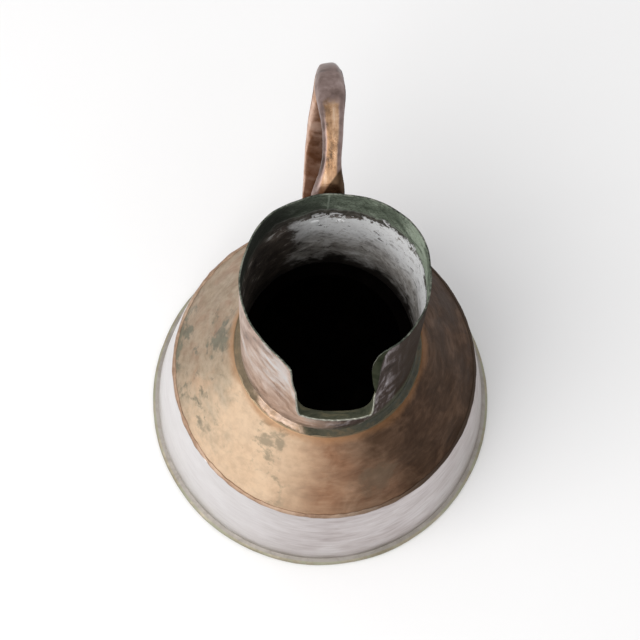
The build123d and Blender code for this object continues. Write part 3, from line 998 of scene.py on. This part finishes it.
def inside_dark():
    """Inside of the body: blackened metal, painted near black as shade."""
    m = Nodes("inside_black")
    co, x, y, z = m.coords()
    mottle = m.noise(co, 80, 6, 0.62, 0.5)
    fine = m.noise(co, 380, 5, 0.65)
    color = m.ramp(mottle, [
        (0.35, (0.0035, 0.003, 0.0028)), (0.55, (0.008, 0.006, 0.005)), (0.7, (0.016, 0.012, 0.010)),
    ])
    # painted deeper shade on the shoulder round the throat, deep in the neck
    color = m.mix(m.span(z, 0.1145, 0.1155, 0.0, 0.75), color, (0.001, 0.0008, 0.0007))
    return m.finish(color, 0.0, 0.85, m.bump(fine, 0.4, 0.0004, m.bump(mottle, 0.4, 0.001)), spec=0.0)


def neck_inside():
    m = Nodes("neck_lining")
    co, x, y, z = m.coords()
    broad = m.noise(co, 30, 5, 0.6, 0.7)
    mottle = m.noise(co, 95, 7, 0.65, 0.8)
    fine = m.noise(co, 380, 7, 0.7)
    speck = m.noise(co, 900, 4, 0.6)
    wob = m.times(m.math("SUBTRACT", mottle, 0.5), 0.012)
    wide_wob = m.times(m.math("SUBTRACT", broad, 0.5), 0.03)
    zz = m.plus(z, wob)
    # bare darkened metal, with painted shade deeper down the neck
    depth = m.span(m.plus(z, m.times(wide_wob, 0.6)), 0.118, 0.160)
    brown = m.ramp(m.both(mottle, 0.6, broad, 0.4), [
        (0.36, (0.014, 0.010, 0.008)), (0.5, (0.060, 0.047, 0.038)), (0.64, (0.17, 0.135, 0.112)),
    ])
    brown = m.mix(m.times(m.math("SUBTRACT", 1.0, depth), 0.75), brown, (0.008, 0.006, 0.005))
    # lime: thick towards its upper edge, thinner and dirtier further down
    back = m.side(x, y, 36)
    top_edge = m.plus(zz, wide_wob)
    right_up = m.span(m.side(x, y, 30), 0.80, 1.0, 0.0, -0.0035)
    ragged = m.both(mottle, 0.55, fine, 0.45)
    upper = m.span(m.vary(m.plus(top_edge, right_up), ragged, 0.045), 0.1955, 0.1925)
    lower = m.span(top_edge, 0.112, 0.152)
    around = m.span(m.vary(back, broad, 0.9), 0.12, 0.52)
    lime = m.times(m.times(upper, lower), around)
    film_low = m.span(m.plus(ragged, m.times(lime, 0.55)), 0.58, 0.80)
    lime = m.times(lime, film_low)
    clean = m.span(top_edge, 0.150, 0.176)
    thick = m.ramp(ragged, [
        (0.38, (0.50, 0.49, 0.49)), (0.46, (0.90, 0.905, 0.92)), (0.56, (0.97, 0.975, 0.99)),
    ])
    thin = m.ramp(ragged, [
        (0.36, (0.14, 0.122, 0.108)), (0.5, (0.46, 0.435, 0.41)), (0.62, (0.80, 0.79, 0.78)),
    ])
    white = m.mix(clean, thin, thick)
    pits = m.span(m.noise(co, 240, 5, 0.7, 0.5), 0.60, 0.66)
    white = m.mix(m.times(pits, 0.8), white, (0.05, 0.042, 0.036))
    color = m.mix(lime, brown, white)
    stray = m.times(m.span(ragged, 0.555, 0.60), m.times(m.span(z, 0.203, 0.196), m.span(z, 0.135, 0.155)))
    color = m.mix(m.times(stray, 0.5), color, (0.42, 0.40, 0.38))
    # verdigris under the rim
    tide = m.span(m.plus(zz, m.times(wide_wob, 0.35)), 0.1925, 0.1950)
    tide = m.times(tide, m.math("SUBTRACT", 1.0, m.times(lime, 0.9)))
    color = m.mix(m.times(tide, 0.8), color, m.ramp(ragged, [
        (0.38, (0.020, 0.018, 0.014)), (0.5, (0.055, 0.052, 0.043)), (0.62, (0.16, 0.15, 0.13)),
    ]))
    band = m.span(m.plus(zz, m.times(wide_wob, 0.35)), 0.1985, 0.2015)
    green = m.ramp(m.both(mottle, 0.5, broad, 0.5), [
        (0.36, (0.045, 0.058, 0.042)), (0.5, (0.17, 0.205, 0.155)), (0.64, (0.42, 0.475, 0.39)),
    ])
    green = m.mix(m.times(m.span(speck, 0.46, 0.62), 0.75), green, (0.06, 0.068, 0.048))
    right = m.side(x, y, 12)
    shade = m.span(m.vary(right, broad, 0.5), 0.55, -0.5)
    green = m.mix(m.times(shade, 0.94), green, (0.012, 0.014, 0.010))
    # painted light: the green on the right, where light falls inside the mouth, made paler
    painted_lit_green = m.times(m.span(m.side(x, y, 8), 0.80, 0.97), m.span(mottle, 0.42, 0.58))
    green = m.mix(m.times(painted_lit_green, 0.6), green, (0.46, 0.54, 0.43))
    color = m.mix(band, color, green)
    line_z = m.times(m.span(zz, 0.1990, 0.2000), m.span(zz, 0.2012, 0.2003))
    color = m.mix(m.times(line_z, m.span(back, -0.5, 0.6, 0.0, 0.35)), color, (0.34, 0.36, 0.33))
    level = m.math("ABSOLUTE", m.math("SUBTRACT", m.plus(zz, m.times(x, -0.18)), 0.1955))
    trail = m.times(m.span(level, 0.0022, 0.0006), m.span(m.side(x, y, 119), 0.955, 0.985))
    trail = m.times(trail, m.span(ragged, 0.45, 0.58))
    color = m.mix(m.times(trail, 0.8), color, (0.62, 0.61, 0.59))
    seam = m.math("ABSOLUTE", m.plus(x, m.plus(m.times(wob, 0.05), 0.0004)))
    seam = m.times(m.span(seam, 0.0006, 0.0002), m.times(m.span(y, 0.0, 0.01), m.span(z, 0.199, 0.203)))
    color = m.mix(m.times(seam, 0.55), color, (0.26, 0.30, 0.25))
    # painted glints: a few bright specks high on the back wall
    painted_glints = m.times(m.span(m.noise(co, 700, 2, 0.5), 0.70, 0.74), m.span(m.side(x, y, 88), 0.98, 0.995))
    painted_glints = m.times(painted_glints, m.times(m.span(z, 0.200, 0.203), m.span(z, 0.211, 0.208)))
    color = m.mix(painted_glints, color, (0.8, 0.8, 0.78))
    # olive lip
    front = m.side(x, y, -90)
    lip = m.times(m.span(front, 0.80, 0.90), m.span(z, 0.172, 0.180))
    color = m.mix(lip, color, m.ramp(mottle, [
        (0.35, (0.045, 0.052, 0.032)), (0.5, (0.10, 0.105, 0.068)), (0.65, (0.19, 0.17, 0.10)),
    ]))
    rough = m.span(fine, 0.3, 0.7, 0.62, 0.85)
    n1 = m.bump(mottle, 0.5, 0.0008)
    n2 = m.bump(fine, 0.4, 0.0003, n1)
    return m.finish(color, 0.15, rough, n2, spec=0.3)


def neck_edge():
    m = Nodes("cut_edge")
    co, x, y, z = m.coords()
    fine = m.noise(co, 600, 5, 0.6)
    broad = m.noise(co, 90, 4, 0.6)
    color = m.ramp(m.both(fine, 0.5, broad, 0.5), [
        (0.38, (0.018, 0.022, 0.016)), (0.5, (0.075, 0.085, 0.066)), (0.62, (0.25, 0.26, 0.215)),
    ])
    notch = m.times(m.span(z, 0.2185, 0.2150), m.span(fine, 0.3, 0.55, 0.55, 1.0))
    color = m.mix(m.times(notch, 0.7), color, (0.42, 0.41, 0.35))
    n = m.bump(fine, 0.4, 0.0003)
    return m.finish(color, 0.7, 0.42, n)


def solder_material(name, dark, mid, light, scale):
    m = Nodes(name)
    co, x, y, z = m.coords()
    broad = m.noise(co, 45 * scale, 5, 0.6, 0.5)
    fine = m.noise(co, 300 * scale, 6, 0.65)
    tone = m.both(broad, 0.7, fine, 0.3)
    color = m.ramp(tone, [(0.34, dark), (0.5, mid), (0.66, light)])
    n1 = m.bump(broad, 0.4, 0.001)
    n2 = m.bump(fine, 0.4, 0.0003, n1)
    return m.finish(color, 0.8, m.span(fine, 0.3, 0.7, 0.35, 0.6), n2)


def edge_solder_material():
    m = Nodes("edge_solder_metal")
    co, x, y, z = m.coords()
    broad = m.noise(co, 45, 5, 0.6, 0.5)
    fine = m.noise(co, 300, 6, 0.65)
    tone = m.both(broad, 0.6, fine, 0.4)
    warm = m.ramp(tone, [(0.36, (0.20, 0.12, 0.08)), (0.5, (0.38, 0.25, 0.17)), (0.64, (0.55, 0.41, 0.31))])
    # painted shade: the right side of the ring darkened
    painted_shade_mask = m.span(m.plus(m.side(x, y, 12), m.times(broad, 0.6)), -0.2, 0.9)
    color = m.mix(m.times(painted_shade_mask, 0.95), warm, (0.035, 0.021, 0.013))
    n2 = m.bump(fine, 0.4, 0.0003, m.bump(broad, 0.4, 0.001))
    return m.finish(color, 0.7, m.span(fine, 0.3, 0.7, 0.45, 0.65), n2)


def foot_solder_material():
    m = Nodes("foot_solder_metal")
    co, x, y, z = m.coords()
    broad = m.noise(co, 60, 5, 0.6, 0.5)
    fine = m.noise(co, 300, 6, 0.65)
    tone = m.both(broad, 0.6, fine, 0.4)
    dull = m.ramp(tone, [
        (0.38, (0.030, 0.030, 0.019)), (0.5, (0.075, 0.068, 0.044)), (0.62, (0.16, 0.115, 0.065)),
    ])
    # painted highlight: pinkish colours laid on the front-left of the solder, where the light falls
    painted_light = m.ramp(tone, [
        (0.38, (0.24, 0.14, 0.085)), (0.5, (0.52, 0.36, 0.25)), (0.62, (0.74, 0.58, 0.48)),
    ])
    lit = m.span(m.vary(m.side(x, y, 232), broad, 0.25), 0.92, 0.985)
    brownish = m.times(m.span(m.side(x, y, 190), 0.3, 0.9), 0.7)
    dull = m.mix(brownish, dull, m.mix(fine, (0.10, 0.075, 0.045), (0.26, 0.19, 0.12)))
    color = m.mix(lit, dull, painted_light)
    n2 = m.bump(fine, 0.4, 0.0003, m.bump(broad, 0.5, 0.001))
    shade = m.span(m.side(x, y, -35), 0.3, 0.9, 0.0, 0.6)
    color = m.mix(shade, color, (0.028, 0.032, 0.026))
    return m.finish(color, m.times(lit, 0.9), m.span(fine, 0.3, 0.7, 0.4, 0.65), n2, spec=0.15)


def handle_material():
    m = Nodes("handle_copper")
    co, x, y, z = m.coords()
    facet = m.put("ShaderNodeAttribute", attribute_name="facet", out=2)
    broad = m.noise(co, 45, 5, 0.6, 0.5)
    mottle = m.noise(co, 150, 6, 0.6, 0.3)
    fine = m.noise(co, 520, 6, 0.65)
    brown = m.ramp(m.both(broad, 0.5, mottle, 0.5), [
        (0.34, (0.11, 0.075, 0.065)), (0.5, (0.27, 0.195, 0.175)), (0.64, (0.46, 0.36, 0.34)),
    ])
    # painted light: lighter copper for the lower part of the strap, which catches the light
    painted_lit_copper = m.ramp(mottle, [
        (0.36, (0.50, 0.30, 0.20)), (0.5, (0.66, 0.45, 0.35)), (0.64, (0.76, 0.57, 0.47)),
    ])
    brown = m.mix(m.span(z, 0.205, 0.170), brown, painted_lit_copper)
    lengthways = m.put("ShaderNodeMapping", {0: co, 3: (4.0, 0.6, 0.6)})
    grain = m.both(mottle, 0.5, m.noise(lengthways, 90, 5, 0.6), 0.5)
    gold = m.ramp(grain, [
        (0.36, (0.13, 0.080, 0.050)), (0.45, (0.29, 0.17, 0.095)), (0.53, (0.42, 0.265, 0.165)),
        (0.63, (0.53, 0.38, 0.27)),
    ])
    bare = m.span(m.vary(facet, mottle, 0.5), 0.20, 0.50)
    wear_and_painted_highlight = m.times(bare, m.span(m.vary(y, mottle, 0.012), 0.0840, 0.0795))
    wear_and_painted_highlight = m.times(wear_and_painted_highlight, m.span(z, 0.19, 0.2))
    color = m.mix(wear_and_painted_highlight, brown, gold)
    # painted shade: a near-black band on the strap where it leaves the neck below the rim
    slope = m.math("SUBTRACT", m.math("SUBTRACT", y, 0.042), m.times(m.plus(x, 0.0048), 1.1))
    foot = m.times(m.span(slope, 0.0007, -0.0007), m.span(z, 0.2035, 0.2065))
    color = m.mix(foot, color, m.ramp(mottle, [(0.36, (0.035, 0.020, 0.011)), (0.64, (0.11, 0.068, 0.04))]))
    rough = m.span(m.math("SUBTRACT", mottle, m.times(wear_and_painted_highlight, 0.15)), 0.2, 0.7, 0.26, 0.5)
    n1 = m.bump(broad, 0.3, 0.002)
    n2 = m.bump(mottle, 0.25, 0.0005, n1)
    n3 = m.bump(fine, 0.25, 0.0002, n2)
    return m.finish(color, 1.0, rough, n3)


dark_mat = inside_dark()
for o, mat in ((shoulder, shoulder_material()), (body, skirt_material()), (base, base_material())):
    o.data.materials.append(mat)
    o.data.materials.append(dark_mat)
lining_mat = neck_inside()
for k, mat in enumerate((neck_outside(), lining_mat, neck_edge())):
    neck.data.materials[k] = mat
edge_solder.data.materials.append(edge_solder_material())
foot_solder.data.materials.append(foot_solder_material())
neck_braze.data.materials.append(lining_mat)
body_braze.data.materials.append(
    solder_material("body_braze_metal", (0.40, 0.30, 0.16), (0.60, 0.47, 0.27), (0.74, 0.62, 0.38), 2)
)
handle_mat = handle_material()
for o in (strap_obj, upper_tab, lower_tab):
    o.data.materials.append(handle_mat)
rivet_mat = solder_material("rivet_metal", (0.12, 0.08, 0.06), (0.30, 0.21, 0.16), (0.52, 0.42, 0.36), 3)
for o, lining in ((upper_rivets, lining_mat), (lower_rivets, dark_mat)):
    o.data.materials.append(rivet_mat)
    o.data.materials.append(lining)

# ------------------------------------------------------------------ pieces and their nodes
for obj, node, slot in (
    (base, "base_plate", "base_copper"),
    (body, "body_wall", "body_copper"),
    (body_braze, "body_seam_braze", "braze"),
    (edge_solder, "body_seam_solder", "solder"),
    (shoulder, "shoulder", "shoulder_copper"),
    (neck, "neck", "neck_copper"),
    (neck_braze, "neck_seam_braze", "braze"),
    (foot_solder, "neck_foot_solder", "solder"),
    (strap_obj, "handle", "handle_copper"),
    (upper_tab, "handle", "handle_copper"),
    (lower_tab, "handle", "handle_copper"),
    (upper_rivets, "upper_rivets", "rivet_copper"),
    (lower_rivets, "lower_rivets", "rivet_copper"),
):
    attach(obj, "root")
    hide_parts(node)

# ------------------------------------------------------------------ floor, light, camera
def floor_material():
    m = Nodes("floor_white")
    co, x, y, z = m.coords()
    soft = m.noise(co, 3, 3, 0.5)
    color = m.ramp(soft, [(0.3, (0.86, 0.86, 0.865)), (0.7, (0.89, 0.89, 0.895))])
    return m.finish(color, 0.0, 0.6, m.bump(m.noise(co, 300, 3, 0.5), 0.02, 0.0002), spec=0.2)


bpy.ops.mesh.primitive_plane_add(size=8, location=(0, 0, -0.0002))
floor = bpy.context.active_object
floor.name = "floor"
floor.data.materials.append(floor_material())

world = bpy.data.worlds.new("studio")
scene.world = world
world.use_nodes = True
bg = world.node_tree.nodes["Background"]
bg.inputs["Color"].default_value = (1.0, 1.0, 1.0, 1)
bg.inputs["Strength"].default_value = 0.65


def area(name, location, target, size, size_y, power, color):
    light = bpy.data.lights.new(name, "AREA")
    light.shape = "RECTANGLE"
    light.size, light.size_y = size, size_y
    light.energy = power
    light.color = color
    obj = bpy.data.objects.new(name, light)
    scene.collection.objects.link(obj)
    obj.location = location
    d = Vector(target) - Vector(location)
    obj.rotation_euler = d.to_track_quat("-Z", "Y").to_euler()


area("window", (-0.92, -0.62, 1.35), (0, 0, 0.08), 1.7, 1.4, 22, (1.0, 0.988, 0.97))
area("overhead", (0.1, 0.4, 1.9), (0, 0, 0.1), 1.4, 1.2, 3, (0.97, 0.98, 1.0))

camera = bpy.data.cameras.new("camera")
camera.lens, camera.sensor_width = 101.25, 36.0
camera.clip_start, camera.clip_end = 0.01, 20
cam = bpy.data.objects.new("camera", camera)
scene.collection.objects.link(cam)
azimuth, elevation, roll, distance = radians(-10), radians(74.88), radians(6.64), 0.87675
target = Vector((-2.22, 16.98, 100.0)) * MM
away = Vector((sin(azimuth) * cos(elevation), -cos(azimuth) * cos(elevation), sin(elevation)))
cam.location = target + away * distance
cam.rotation_mode = "QUATERNION"
cam.rotation_quaternion = (-away).to_track_quat("-Z", "Y") @ Quaternion((0, 0, 1), roll)
scene.camera = cam
scene.view_settings.view_transform = "Standard"
